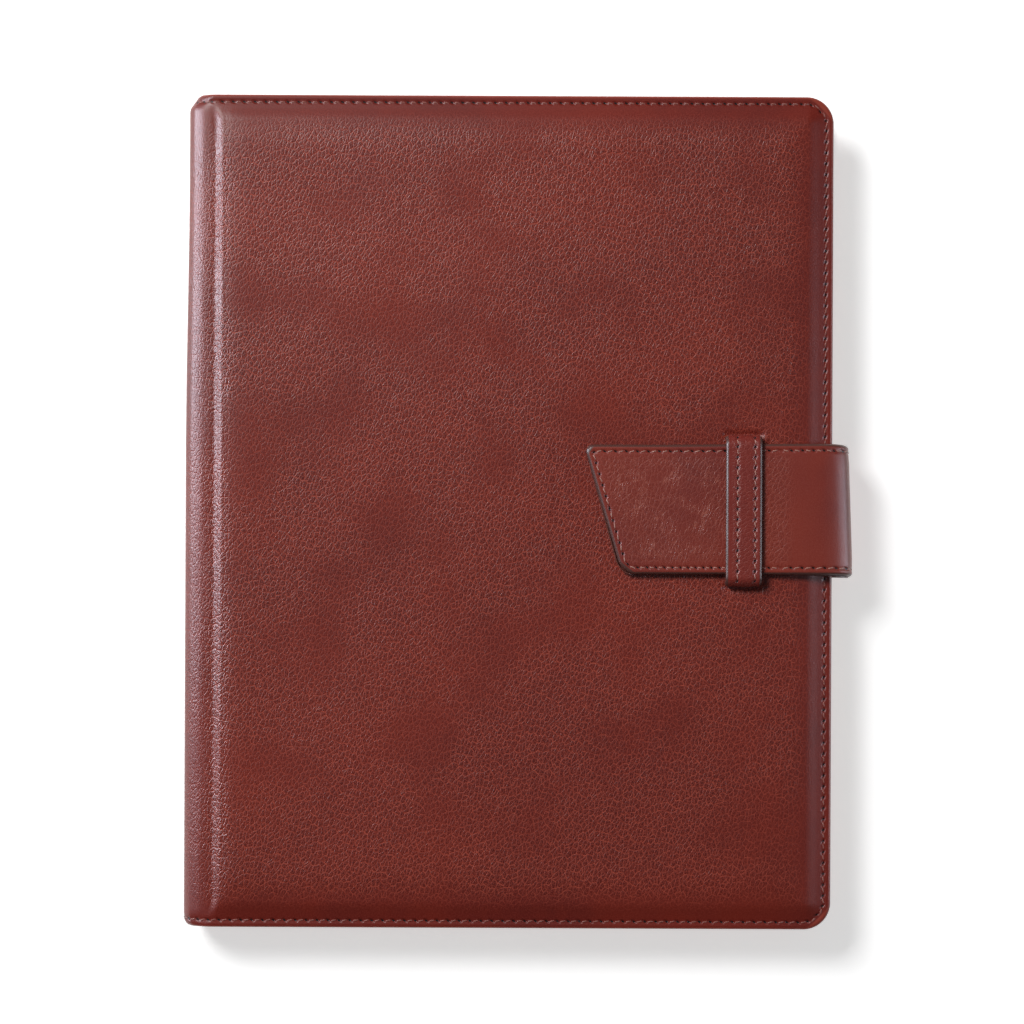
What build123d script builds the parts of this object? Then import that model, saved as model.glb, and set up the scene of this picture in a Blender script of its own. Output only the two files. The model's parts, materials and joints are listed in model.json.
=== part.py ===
from build123d import *
import math
import os

# Leather notebook cover, closed, lying on its back cover. Millimetres.
# +X runs from the spine to the fore-edge, +Y towards the head, +Z from the back cover to the front cover.
# The origin is the middle of the back cover's flat outer face.

# Closed cover
cover_height = 267.0
cover_width = 209.2
closed_thickness = 22.4
corner_radius = 8.7

# Layers
leather = 1.2
padding = 0.8
board = 1.6
lining = 0.8
panel_rise = 2.4  # how far a panel's flat face stands above its sewn edge
edge_slope_start = 3.0  # from the cover's edge to the foot of the panel's slope
edge_slope_end = 8.0  # from the cover's edge to the flat face
hinge_slope_start = 1.5
hinge_slope_end = 3.0
board_margin = 6.0
board_hinge_margin = 3.4

# Soft spine, folded in three flats between four creases
spine_bulge = 10.2
crease_turn = 30.0  # at the two outer creases; the two inner ones turn twice as far
crease_gap = 0.15  # each side of a crease
panel_crease_gap = 0.6

# Strap
strap_width = 40.8
strap_layer = 1.2
strap_bulge = 7.2
strap_crease_out = 1.0  # the strap's first crease, outside the fore-edge
strap_crease_in = 2.1  # the strap's last crease, inside the fore-edge
strap_root_length = 20.0
strap_root_thickness = 0.8
tongue_tip_x = 25.0
tongue_tip_slant = 12.4  # how much further the tip's head corner reaches than its tail corner
tongue_head_radius = 1.6
tongue_tail_radius = 6.5
slip_gap = 0.3  # between the strap and what it slips past

# Keeper loop
keeper_x = 75.8
keeper_width = 12.2
keeper_span = 47.5
keeper_lining_layer = 0.8
keeper_shoulder = 3.0
keeper_foot_length = 8.0
keeper_foot_thickness = 0.8

# Notebook refill and the sleeve that holds it
notebook_width = 190.5
notebook_height = 247.6
notebook_spine_x = -92.0
card = 0.6
tape = 0.2
tape_reach = 14.0
page_thickness = 9.4
sleeve_start_x = 10.0
sleeve_sheet = 0.8
sleeve_play = 0.4

# Inside of the front cover
pocket_sheet = 0.8
pocket_start_x = -84.0
slot_sheet = 0.7
slot_low_x = -20.0
slot_high_x = 86.0
slot_depths = (40.0, 22.0, 22.0)
slot_low_y = -112.0

fore_edge_x = cover_width / 2
half_height = cover_height / 2
hinge_x = -cover_width / 2 + spine_bulge
edge_low = panel_rise
board_top = leather + padding + board
lining_top = board_top + lining
inner_turn = 90.0 - crease_turn


def outline(hinge_inset, edge_inset):
    """The cover panel's outline, set in from the hinge and from the other three edges, round at the fore-edge."""
    low_x = hinge_x + hinge_inset
    high_x = fore_edge_x - edge_inset
    high_y = half_height - edge_inset
    radius = max(corner_radius - edge_inset, 2.0)
    sheet = Pos((low_x + high_x) / 2, 0) * Rectangle(high_x - low_x, 2 * high_y)
    return fillet(sheet.vertices().group_by(Axis.X)[-1], radius)


def slab(face, low, high):
    """A flat piece with this outline between two heights."""
    return Pos(0, 0, low) * extrude(face, high - low)


def block(low, high):
    """A box from its lowest corner to its highest."""
    size = [b - a for a, b in zip(low, high)]
    middle = [(a + b) / 2 for a, b in zip(low, high)]
    return Pos(*middle) * Box(*size)


def between(low_face, low, high_face, high):
    """A solid that runs straight from one outline to another."""
    return loft([Pos(0, 0, low) * low_face, Pos(0, 0, high) * high_face], ruled=True)


def to_front(piece):
    """The same piece on the front cover."""
    return mirror(piece, about=Plane.XY.offset(closed_thickness / 2))


def panel_padding():
    return between(
        outline(board_hinge_margin + 1.0, edge_slope_end),
        leather,
        outline(board_hinge_margin, board_margin),
        leather + padding,
    )


def panel_board():
    return slab(outline(board_hinge_margin, board_margin), leather + padding, board_top)


def panel_leather():
    """The leather over one board: a sewn edge, a slope and a flat face, hollow where the board sits."""
    edge = slab(outline(panel_crease_gap, 0), edge_low, edge_low + leather)
    face = between(
        outline(hinge_slope_end, edge_slope_end),
        0,
        outline(hinge_slope_start, edge_slope_start),
        edge_low,
    )
    filling = slab(outline(hinge_slope_start, edge_slope_start), edge_low, board_top)
    return edge + face + filling - panel_padding() - panel_board()


def panel_lining():
    return slab(outline(panel_crease_gap, 0), board_top, lining_top)


def crease_points(first, last, bulge_x, turn):
    """The four creases of a flat-sided bend from one (x, z) to another, out to bulge_x."""
    rise = [abs(bulge_x - x) * math.tan(math.radians(turn)) for x, z in (first, last)]
    return [first, (bulge_x, first[1] + rise[0]), (bulge_x, last[1] - rise[1]), last]


def flat(start, end, start_turn, end_turn, side, low, high, width):
    """One flat between two creases, from depth low to depth high under its outer face, with mitred ends.
    side is 1 where the inside of the bend is on the right of the way from start to end, and -1 on the left."""
    along = Vector(end[0] - start[0], 0, end[1] - start[1])
    length = along.length
    along = along.normalized()
    inward = Vector(along.Z, 0, -along.X) * side
    start_slant = math.tan(math.radians(start_turn / 2))
    end_slant = math.tan(math.radians(end_turn / 2))
    corners = []
    for depth, at_end in ((low, False), (low, True), (high, True), (high, False)):
        if at_end:
            reach = length - crease_gap - depth * end_slant
        else:
            reach = crease_gap + depth * start_slant
        corners.append(Vector(start[0], -width / 2, start[1]) + along * reach + inward * depth)
    section = make_face(Polyline(*corners, close=True))
    return extrude(section, width, dir=(0, 1, 0))


spine_creases = crease_points(
    (hinge_x, edge_low),
    (hinge_x, closed_thickness - edge_low),
    -cover_width / 2,
    crease_turn,
)
tongue_low = closed_thickness + slip_gap
tongue_high = tongue_low + 2 * strap_layer
strap_middle_z = (board_top + lining_top) / 2
strap_creases = crease_points(
    (fore_edge_x + strap_crease_out, strap_middle_z - strap_layer),
    (fore_edge_x - strap_crease_in, tongue_high),
    fore_edge_x + strap_bulge,
    crease_turn,
)
turns = (crease_turn, inner_turn, inner_turn, crease_turn)
flat_names = ("lower", "middle", "upper")


def spine_pieces():
    """The leather and the lining of each flat of the spine."""
    pieces = {}
    for n, name in enumerate(flat_names):
        bend = (spine_creases[n], spine_creases[n + 1], turns[n], turns[n + 1], 1)
        pieces["spine_leather_" + name] = flat(*bend, 0, leather, cover_height)
        pieces["spine_lining_" + name] = flat(*bend, leather, leather + lining, cover_height)
    return pieces


def strap_pieces():
    """The leather and the lining of each flat of the strap's bend round the fore-edge."""
    pieces = {}
    for n, name in enumerate(flat_names):
        bend = (strap_creases[n], strap_creases[n + 1], turns[n], turns[n + 1], -1)
        pieces["strap_leather_" + name] = flat(*bend, 0, strap_layer, strap_width)
        pieces["strap_lining_" + name] = flat(*bend, strap_layer, 2 * strap_layer, strap_width)
    return pieces


def tongue_outline(end_x):
    """The strap's tongue from above: a slanted tip with a small radius at its head and a large one at its tail."""
    half = strap_width / 2
    head_tip = (tongue_tip_x, half)
    tail_tip = (tongue_tip_x + tongue_tip_slant, -half)
    sheet = make_face(Polyline(head_tip, (end_x, half), (end_x, -half), tail_tip, close=True))
    sheet = fillet(sheet.vertices().sort_by(Axis.X)[0], tongue_head_radius)
    tail_corner = sheet.vertices().sort_by_distance(Vertex(*tail_tip, 0))[0]
    return fillet(tail_corner, tongue_tail_radius)


def tongue_pieces():
    last_x = strap_creases[3][0] - crease_gap
    slant = math.tan(math.radians(crease_turn / 2))
    middle = tongue_low + strap_layer
    leather_outline = tongue_outline(last_x - strap_layer * slant)
    lining_outline = tongue_outline(last_x - 2 * strap_layer * slant)
    return {
        "strap_leather_tongue": slab(leather_outline, middle, tongue_high),
        "strap_lining_tongue": slab(lining_outline, tongue_low, middle),
    }


def strap_root():
    """The strap's skived end, sewn between the back leather and the sleeve."""
    half = strap_width / 2
    out_x = fore_edge_x + strap_crease_out / 2
    return block(
        (fore_edge_x - strap_root_length, -half, lining_top - strap_root_thickness),
        (out_x, half, lining_top),
    )


keeper_board_z = closed_thickness - board_top
keeper_top = tongue_high + slip_gap + keeper_lining_layer + leather


def arch(span, top, low, radius):
    """The keeper's section, square at the foot and round at the shoulders, as a solid across the strap's length."""
    section = Rectangle(span, top - low)
    section = fillet(section.vertices().group_by(Axis.Y)[-1], radius)
    upright = Plane(origin=(keeper_x, 0, (top + low) / 2), x_dir=(0, 1, 0), z_dir=(1, 0, 0))
    return extrude(upright * section, keeper_width / 2, both=True)


def keeper_pieces():
    """The loop's leather, with feet turned out under the front board, and the lining inside the loop."""
    inner_span = keeper_span - 2 * leather
    inner_top = keeper_top - leather
    lining_span = inner_span - 2 * keeper_lining_layer
    lining_roof = inner_top - keeper_lining_layer
    inner_shoulder = keeper_shoulder - leather
    loop = arch(keeper_span, keeper_top, keeper_board_z, keeper_shoulder)
    loop -= arch(inner_span, inner_top, keeper_board_z, inner_shoulder)
    lining_loop = arch(inner_span, inner_top, closed_thickness, inner_shoulder)
    lining_loop -= arch(lining_span, lining_roof, closed_thickness, inner_shoulder - keeper_lining_layer)
    return {"keeper_leather": loop + keeper_feet(), "keeper_lining": lining_loop}


def keeper_feet():
    feet = []
    for side in (-1, 1):
        ends = sorted((side * keeper_span / 2, side * (keeper_span / 2 + keeper_foot_length)))
        feet.append(
            block(
                (keeper_x - keeper_width / 2, ends[0], keeper_board_z),
                (keeper_x + keeper_width / 2, ends[1], keeper_board_z + keeper_foot_thickness),
            )
        )
    return feet


def keeper_slits():
    """What the keeper's two legs take out of the layers they pass through."""
    slits = []
    for side in (-1, 1):
        ends = sorted((side * keeper_span / 2, side * (keeper_span / 2 - leather)))
        slits.append(
            block(
                (keeper_x - keeper_width / 2, ends[0], keeper_board_z),
                (keeper_x + keeper_width / 2, ends[1], closed_thickness),
            )
        )
    return slits


def back_sleeve():
    """A sheet sewn down on three sides over the notebook's back card, and open towards the spine."""
    card_x = notebook_spine_x + notebook_width + sleeve_play
    card_y = notebook_height / 2 + sleeve_play
    sheet_low = lining_top + tape + card
    sheet_high = sheet_low + sleeve_sheet
    sewn = slab(outline(sleeve_start_x - hinge_x, 0), lining_top, sheet_low)
    cover = block(
        (sleeve_start_x, -card_y - sleeve_sheet, lining_top),
        (card_x + sleeve_sheet, card_y + sleeve_sheet, sheet_high),
    )
    room = block((sleeve_start_x, -card_y, lining_top), (card_x, card_y, sheet_low))
    return sewn + cover - room


def notebook_pieces():
    """A refill: two cards, a page block between them and a strip of tape round the spine."""
    half = notebook_height / 2
    far_x = notebook_spine_x + notebook_width
    back_card_low = lining_top + tape
    pages_low = back_card_low + card
    sleeve_high = pages_low + sleeve_sheet
    pages_high = sleeve_high + page_thickness
    front_card_high = pages_high + card
    pages = block((notebook_spine_x, -half, sleeve_high), (far_x, half, pages_high))
    gutter = block(
        (notebook_spine_x, -half, pages_low),
        (sleeve_start_x - sleeve_play, half, sleeve_high),
    )
    wrap = block(
        (notebook_spine_x - tape, -half, lining_top),
        (notebook_spine_x + tape_reach, half, front_card_high + tape),
    )
    inside_wrap = block(
        (notebook_spine_x, -half, back_card_low),
        (notebook_spine_x + tape_reach, half, front_card_high),
    )
    return {
        "notebook_back_card": block((notebook_spine_x, -half, back_card_low), (far_x, half, pages_low)),
        "notebook_pages": pages + gutter,
        "notebook_front_card": block((notebook_spine_x, -half, pages_high), (far_x, half, front_card_high)),
        "notebook_tape": wrap - inside_wrap,
    }


def front_inside_pieces():
    """The pocket for loose paper, open towards the spine, and the card slots sewn on it."""
    pocket_high = closed_thickness - lining_top
    pocket_low = pocket_high - pocket_sheet
    pieces = {"front_pocket": slab(outline(pocket_start_x - hinge_x, 0), pocket_low, pocket_high)}
    low_y = slot_low_y
    for n, depth in enumerate(slot_depths):
        pieces["card_slot_%d" % (n + 1)] = block(
            (slot_low_x, low_y, pocket_low - slot_sheet), (slot_high_x, low_y + depth, pocket_low)
        )
        low_y += depth
    return pieces


def build():
    nodes = {
        "back_leather": panel_leather(),
        "back_padding": panel_padding(),
        "back_board": panel_board(),
        "back_lining": panel_lining() - strap_root(),
        "back_sleeve": back_sleeve(),
        "strap_root": strap_root(),
        "front_leather": to_front(panel_leather()) - keeper_slits(),
        "front_padding": to_front(panel_padding()) - keeper_slits(),
        "front_board": to_front(panel_board()) - keeper_slits() - keeper_feet(),
        "front_lining": to_front(panel_lining()),
    }
    for pieces in (
        notebook_pieces(),
        spine_pieces(),
        front_inside_pieces(),
        keeper_pieces(),
        strap_pieces(),
        tongue_pieces(),
    ):
        nodes.update(pieces)
    return nodes


os.makedirs("parts", exist_ok=True)
for node, piece in build().items():
    export_step(piece, "parts/" + node + ".step")
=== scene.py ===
import json
import math

import bpy
import numpy as np
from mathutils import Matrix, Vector


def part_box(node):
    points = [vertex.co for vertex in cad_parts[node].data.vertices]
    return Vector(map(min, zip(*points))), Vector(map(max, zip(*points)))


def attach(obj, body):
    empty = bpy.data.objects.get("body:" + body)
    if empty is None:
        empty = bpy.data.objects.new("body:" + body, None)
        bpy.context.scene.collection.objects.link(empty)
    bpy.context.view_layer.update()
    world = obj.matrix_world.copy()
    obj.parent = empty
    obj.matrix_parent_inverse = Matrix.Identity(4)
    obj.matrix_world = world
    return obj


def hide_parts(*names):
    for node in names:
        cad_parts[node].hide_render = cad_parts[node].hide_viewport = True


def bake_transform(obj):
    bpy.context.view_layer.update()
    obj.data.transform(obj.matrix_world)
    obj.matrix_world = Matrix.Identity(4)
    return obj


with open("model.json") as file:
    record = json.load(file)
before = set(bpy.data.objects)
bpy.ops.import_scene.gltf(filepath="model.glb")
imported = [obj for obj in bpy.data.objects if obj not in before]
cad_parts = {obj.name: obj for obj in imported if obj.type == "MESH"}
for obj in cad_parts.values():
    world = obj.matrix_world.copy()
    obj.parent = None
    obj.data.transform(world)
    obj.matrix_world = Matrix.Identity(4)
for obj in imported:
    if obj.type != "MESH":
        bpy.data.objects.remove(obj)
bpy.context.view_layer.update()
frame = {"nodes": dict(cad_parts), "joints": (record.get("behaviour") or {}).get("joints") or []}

# Lengths below are in millimetres; a mesh is scaled to metres when it is made.
# x runs from the spine to the fore-edge, y to the head, z from the back cover to the front cover.
MM = 0.001

rng = np.random.default_rng(7)


# ---------------------------------------------------------------- places, from the frame


def corner(node):
    """A CAD node's low and high corners."""
    low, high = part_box(node)
    return np.array(low) / MM, np.array(high) / MM


def crease(name):
    """Where a crease's axis crosses the x-z plane."""
    found = next(j for j in frame["joints"] if j["name"] == name + "_crease")
    return np.array([found["pos_m"][0], found["pos_m"][2]]) / MM


spine_creases = [crease(name) for name in ("front_cover", "spine_upper", "spine_lower", "spine_back")]
strap_creases = [crease(name) for name in ("strap_root", "strap_lower", "strap_upper", "strap_tongue")]
fore_edge, half_height, closed_thickness = corner("front_leather")[1]
hinge_x = spine_creases[0][0]
flange_top = spine_creases[0][1]
panel_rise = closed_thickness - flange_top
flange_thick = flange_top - corner("front_lining")[0][2]
spine_x = corner("spine_leather_middle")[0][0]
tongue_low, tongue_high = corner("strap_leather_tongue")
strap_half = tongue_high[1] + 0.3  # the strap is a little wider than its CAD solid, and the keeper narrower
strap_thick = tongue_high[2] - corner("strap_lining_tongue")[0][2]
keeper_low, keeper_high = corner("keeper_leather")
keeper_top = keeper_high[2]
keeper_x = (keeper_low[0] + keeper_high[0]) / 2
keeper_half = (keeper_high[0] - keeper_low[0]) / 2 - 0.3
keeper_span = corner("keeper_lining")[1][1] + 1.2


# ---------------------------------------------------------------- sheets that follow a path


def smooth(x, start, end):
    t = np.clip((x - start) / (end - start), 0, 1)
    return t * t * (3 - 2 * t)


def bell(x, middle, width):
    return np.exp(-(((x - middle) / width) ** 2))


class Path:
    """A line through a few points in one plane, with its corners softened."""

    step = 0.1

    def __init__(self, points, soft):
        points = np.array(points, float)
        fine = self.sampled(points)
        reach = int(3 * soft / self.step)
        kernel = np.exp(-0.5 * (np.arange(-reach, reach + 1) * self.step / soft) ** 2)
        kernel /= kernel.sum()
        wide = np.pad(fine, ((reach, reach), (0, 0)), mode="reflect", reflect_type="odd")
        self.line = np.stack([np.convolve(wide[:, k], kernel, "valid") for k in (0, 1)], 1)
        self.measure()

    def sampled(self, points):
        run = np.concatenate([[0], np.cumsum(np.hypot(*np.diff(points, axis=0).T))])
        at = np.linspace(0, run[-1], int(run[-1] / self.step) + 1)
        return np.stack([np.interp(at, run, points[:, k]) for k in (0, 1)], 1)

    def measure(self):
        self.run = np.concatenate([[0], np.cumsum(np.hypot(*np.diff(self.line, axis=0).T))])
        self.length = self.run[-1]
        slope = np.gradient(self.line, axis=0)
        self.slope = slope / np.hypot(*slope.T)[:, None]

    def at(self, a):
        """Place, direction and outward normal at a distance along the path."""
        place = [np.interp(a, self.run, self.line[:, k]) for k in (0, 1)]
        turn = np.stack([np.interp(a, self.run, self.slope[:, k]) for k in (0, 1)], -1)
        turn /= np.linalg.norm(turn, axis=-1, keepdims=True)
        return np.stack(place, -1), turn, np.stack([turn[..., 1], -turn[..., 0]], -1)

    def where(self, x=None, z=None, after=0.0):
        """The distance at which the path first reaches x or z, past some distance."""
        values = self.line[:, 0] - x if x is not None else self.line[:, 1] - z
        crossing = np.nonzero((np.diff(np.sign(values)) != 0) & (self.run[1:] > after))[0]
        return float(self.run[crossing[0]])

    def other_side(self, depth, soft):
        """The same bend seen from inside, at a depth under it and running the other way."""
        inner = self.line - depth * np.stack([self.slope[:, 1], -self.slope[:, 0]], 1)
        return Path(inner[::-1][::5], soft)


def lines(start, *runs):
    """Grid lines from a start through (end, step) runs."""
    found = [np.array([start], float)]
    for end, step in runs:
        count = max(int(math.ceil(abs(end - start) / step)), 1)
        found.append(np.linspace(start, end, count + 1)[1:])
        start = end
    return np.concatenate(found)


class Sheet:
    """A sheet of leather or cloth along a path, with rounded edges and corners.

    A place on it is given by a, the distance along the path, and b, the distance across it. rim is the radius
    of its edge, wrap the angle it goes round the edge, and turn how far it runs on underneath. The hidden side
    lies deep below the outer one, and inset in from its edge.
    """

    def __init__(self, path, half, radii, rim, wrap, turn=0.0, deep=1.0, inset=0.3,
                 lift=None, warp=None, across="y", middle=0.0, row=2.4, pitch=3.5):
        self.path, self.half, self.rim, self.wrap, self.turn = path, half, rim, wrap, turn
        self.deep, self.inset, self.lift, self.warp = deep, inset, lift, warp
        self.across, self.middle, self.row = across, middle, row
        self.radii = np.array(radii, float)  # at (start, low), (start, high), (end, low), (end, high)
        self.mid_a = path.length / 2
        quarter = self.quarter_row(self.radii.max())
        self.pitch = quarter / max(round(quarter / pitch), 1)

    def quarter_row(self, radius):
        return self.mid_a + self.half - 2 * radius + math.pi / 2 * max(radius - self.row, 0)

    def corner_radius(self, a, b):
        high = (b > 0).astype(int)
        return self.radii[np.where(a > self.mid_a, 2, 0) + high]

    def inward(self, a, b):
        """Distance in from the edge."""
        radius = self.corner_radius(a, b)
        u = np.abs(a - self.mid_a) - (self.mid_a - radius)
        v = np.abs(b) - (self.half - radius)
        return radius - np.hypot(np.maximum(u, 0), np.maximum(v, 0)) - np.minimum(np.maximum(u, v), 0)

    def place(self, a, b, height=0.0):
        """Points on the outer face, raised by height along the path's normal."""
        point, _, normal = self.path.at(a)
        return self.placed(point + normal * (self.raised(a, b) + height)[..., None], a, b)

    def raised(self, a, b):
        return 0 * a if self.lift is None else self.lift(a, b, self.inward(a, b))

    def placed(self, flat, a, b):
        """Points in space from places in the path's plane and distances across it."""
        if self.warp is not None:
            flat, b = self.warp(flat, a, b)
        b = b + self.middle
        if self.across == "y":
            return np.stack([flat[..., 0], b, flat[..., 1]], -1)
        return np.stack([b, flat[..., 0], flat[..., 1]], -1)

    def grid(self, a_lines, b_lines, inner=False):
        """Points for every crossing of the lines; past the rim's start, they go round the edge and under."""
        rim = self.rim
        if inner:
            a_lines = self.drawn_in(a_lines, 2 * self.mid_a)
            b_lines = self.drawn_in(b_lines + self.half, 2 * self.half) - self.half
            rim = 0.0
        a, b = np.meshgrid(a_lines, b_lines, indexing="ij")
        side_a, side_b = np.where(a > self.mid_a, 1.0, -1.0), np.where(b > 0, 1.0, -1.0)
        radius = np.maximum(self.corner_radius(a, b) - rim, 0.01)
        half_a, half_b = self.mid_a - rim, self.half - rim
        u = (side_a * (a - self.mid_a) - (half_a - radius)) / radius
        v = (side_b * b - (half_b - radius)) / radius
        round_it = (u > 0) & (v > 0)
        past = np.where(round_it, (np.maximum(u, v) - 1) * radius, np.maximum(u - 1, v - 1) * radius)
        past = np.maximum(past, 0)
        over = np.maximum(np.maximum(u, v), 1)
        cu, cv = np.where(round_it, u / over, 0), np.where(round_it, v / over, 0)
        u_in = np.where(round_it, cu * np.sqrt(np.maximum(1 - cv**2 / 2, 0)), np.minimum(u, 1))
        v_in = np.where(round_it, cv * np.sqrt(np.maximum(1 - cu**2 / 2, 0)), np.minimum(v, 1))
        length = np.maximum(np.hypot(u_in, v_in), 1e-9)
        out_a = np.where(round_it, u_in / length, (u >= v).astype(float))
        out_b = np.where(round_it, v_in / length, (u < v).astype(float))
        at_a = self.mid_a + side_a * (half_a - radius + u_in * radius)
        at_b = side_b * (half_b - radius + v_in * radius)
        point, turn, normal = self.path.at(at_a)
        up = self.raised(at_a, at_b)
        if inner:
            return self.placed(point + normal * (up - self.deep)[..., None], at_a, at_b)
        angle = np.minimum(past / rim, self.wrap)
        under = np.maximum(past - rim * self.wrap, 0)
        out = rim * np.sin(angle) - under
        down = rim * (1 - np.cos(angle))
        flat = point + normal * (up - down)[..., None] + turn * (side_a * out_a * out)[..., None]
        return self.placed(flat, at_a, at_b + side_b * out_b * out)

    def drawn_in(self, at, size):
        """Lines for the hidden side, whose edge lies in from the rim."""
        keep = self.inset + 4.0
        low, high = at.min(), size - at.max()
        at = np.where(at < keep, self.inset + (at - low) / (keep - low) * (keep - self.inset), at)
        far = size - at
        return np.where(far < keep, size - self.inset - (far - high) / (keep - high) * (keep - self.inset), at)

    def edge(self):
        """The first lines of a grid: from the hidden end of the edge, round it, to the rim's start."""
        round_edge = max(int(math.ceil(self.wrap / 0.35)), 3)
        steps = np.linspace(0, self.rim * self.wrap, round_edge + 1)[1:]
        if self.turn:
            steps = np.append(steps, self.rim * self.wrap + self.turn)
        return self.rim - steps[::-1]

    def along(self, *runs):
        """A grid's lines along the path: the edge at both ends, and (end, step) runs between the rims."""
        edge = self.edge()
        return np.concatenate([edge, lines(self.rim, *runs), self.path.length - edge[::-1]])

    def across_it(self, *runs):
        """The same across the path, from its middle."""
        edge = self.edge()
        return np.concatenate([edge - self.half, lines(self.rim - self.half, *runs), self.half - edge[::-1]])

    def stitch_place(self, s, side_a, side_b):
        """Place and direction on the sewn row, s along it from the middle of a long edge towards an end."""
        radius = self.corner_radius(np.array(self.mid_a + side_a), np.array(side_b))
        straight = self.mid_a - radius
        bend = max(radius - self.row, 0.0)
        drawn = radius - bend - self.row
        arc = bend * math.pi / 2
        if s < straight + drawn:
            return self.mid_a + side_a * s, side_b * (self.half - self.row), (side_a, 0.0)
        s = s - drawn
        if s < straight + arc:
            angle = (s - straight) / max(bend, 1e-6)
            return (
                self.mid_a + side_a * (straight + bend * math.sin(angle)),
                side_b * (self.half - radius + bend * math.cos(angle)),
                (side_a * math.cos(angle), -side_b * math.sin(angle)),
            )
        rest = s - straight - arc
        return (
            self.mid_a + side_a * (self.mid_a - self.row),
            side_b * (self.half - radius - rest),
            (0.0, -side_b),
        )

    def seam(self, a_lines, b_lines):
        """For every crossing, its distance along the sewn row from a side's middle, and in from the edge."""
        a, b = np.meshgrid(a_lines, b_lines, indexing="ij")
        radius = self.corner_radius(a, b)
        u = np.abs(a - self.mid_a) - (self.mid_a - radius)
        v = np.abs(b) - (self.half - radius)
        bend = np.maximum(radius - self.row, 0)
        in_corner = (u > 0) & (v > 0)
        along_side = np.abs(a - self.mid_a)
        along_end = self.mid_a - radius + bend * math.pi / 2 + (self.half - radius - np.abs(b))
        round_it = self.mid_a - radius + bend * np.arctan2(np.maximum(u, 0), np.maximum(v, 1e-6))
        s = np.where(in_corner, round_it, np.where(u > v, along_end, along_side))
        return s, self.inward(a, b)


def new_object(name, verts, faces, soft=True):
    """A mesh from points in millimetres, with soft or flat shading."""
    mesh = bpy.data.meshes.new(name)
    mesh.from_pydata((np.asarray(verts).reshape(-1, 3) * MM).tolist(), [], faces)
    mesh.polygons.foreach_set("use_smooth", np.full(len(mesh.polygons), soft))
    obj = bpy.data.objects.new(name, mesh)
    bpy.context.scene.collection.objects.link(obj)
    return obj


def finish_piece(obj, material, ride=None, blend=None, replaces=()):
    obj.data.materials.clear()
    obj.data.materials.append(material)
    if replaces:
        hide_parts(*replaces)
    if ride:
        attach(obj, ride)
    if blend:
        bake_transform(obj)
    return obj


class Grid:
    """A sheet's outer and hidden sides as two grids of points on the same lines, to be cut into pieces."""

    off_row = 20.0  # added to the distance from the edge, so that the hidden side has no sewn row

    def __init__(self, sheet, a_lines, b_lines):
        self.sheet, self.a_lines, self.b_lines = sheet, a_lines, b_lines
        self.outer = sheet.grid(a_lines, b_lines)
        self.inner = sheet.grid(a_lines, b_lines, inner=True)
        down, side = np.gradient(self.outer, axis=0), np.gradient(self.outer, axis=1)
        normals = np.cross(down, side)
        self.normals = normals / np.maximum(np.linalg.norm(normals, axis=-1, keepdims=True), 1e-12)
        middle = tuple(n // 2 for n in normals.shape[:2])
        a, b = np.array(a_lines[middle[0]]), np.array(b_lines[middle[1]])
        outward = sheet.place(a, b, 1.0) - sheet.place(a, b)
        self.flip = float(self.normals[middle] @ outward) < 0
        if self.flip:
            self.normals = -self.normals
        self.seam_s, self.seam_d = sheet.seam(a_lines, b_lines)

    def piece(self, name, start=None, end=None):
        """The part of the sheet between two distances along it, as a closed mesh."""
        first = 0 if start is None else int(np.argmin(np.abs(self.a_lines - start)))
        last = len(self.a_lines) - 1 if end is None else int(np.argmin(np.abs(self.a_lines - end)))
        part = slice(first, last + 1)
        outer, inner = self.outer[part], self.inner[part]
        rows, columns = outer.shape[:2]
        index = np.arange(rows * columns).reshape(rows, columns)
        quads = np.stack([index[:-1, :-1], index[1:, :-1], index[1:, 1:], index[:-1, 1:]], -1).reshape(-1, 4)
        loop = np.concatenate([index[:-1, 0], index[-1, :-1], index[:0:-1, -1], index[0, :0:-1]])
        after, below = np.roll(loop, -1), rows * columns
        walls = np.stack([after, loop, loop + below, after + below], -1)
        faces = np.concatenate([quads, quads[:, ::-1] + below, walls])
        if self.flip:
            faces = faces[:, ::-1]
        verts = np.concatenate([outer.reshape(-1, 3), inner.reshape(-1, 3)])
        obj = new_object(name, verts, faces.tolist())
        self.paint(obj, faces, len(quads), part)
        self.set_normals(obj, faces, verts, len(quads), part)
        return obj

    def set_normals(self, obj, faces, verts, count, part):
        vertex = np.concatenate([self.normals[part].reshape(-1, 3), -self.normals[part].reshape(-1, 3)])
        loops = vertex[faces]
        walls = verts[faces[2 * count:]]
        across = np.cross(walls[:, 2] - walls[:, 0], walls[:, 3] - walls[:, 1])
        across /= np.maximum(np.linalg.norm(across, axis=-1, keepdims=True), 1e-12)
        loops[2 * count:] = across[:, None]
        obj.data.normals_split_custom_set(loops.reshape(-1, 3).tolist())

    def paint(self, obj, faces, count, part):
        """Two maps in metres: the grain lies along the sheet, and the seam map follows its sewn row."""
        a, b = np.meshgrid(self.a_lines[part], self.b_lines, indexing="ij")
        grain = np.stack([a, b], -1).reshape(-1, 2)
        seam = np.stack([self.seam_s[part], self.seam_d[part]], -1).reshape(-1, 2)
        both = [np.concatenate([m, m])[faces] for m in (grain, seam)]
        centre = both[0].mean(axis=1)
        turns = np.sign(centre[:, 0] - self.sheet.mid_a) * np.sign(centre[:, 1])
        both[1][..., 0] *= np.where(turns == 0, 1, turns)[:, None]
        both[1][count:, :, 1] += self.off_row
        for name, values in zip(("Grain", "Seam"), both):
            obj.data.uv_layers.new(name=name).data.foreach_set("uv", (values.reshape(-1) * MM))


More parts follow.
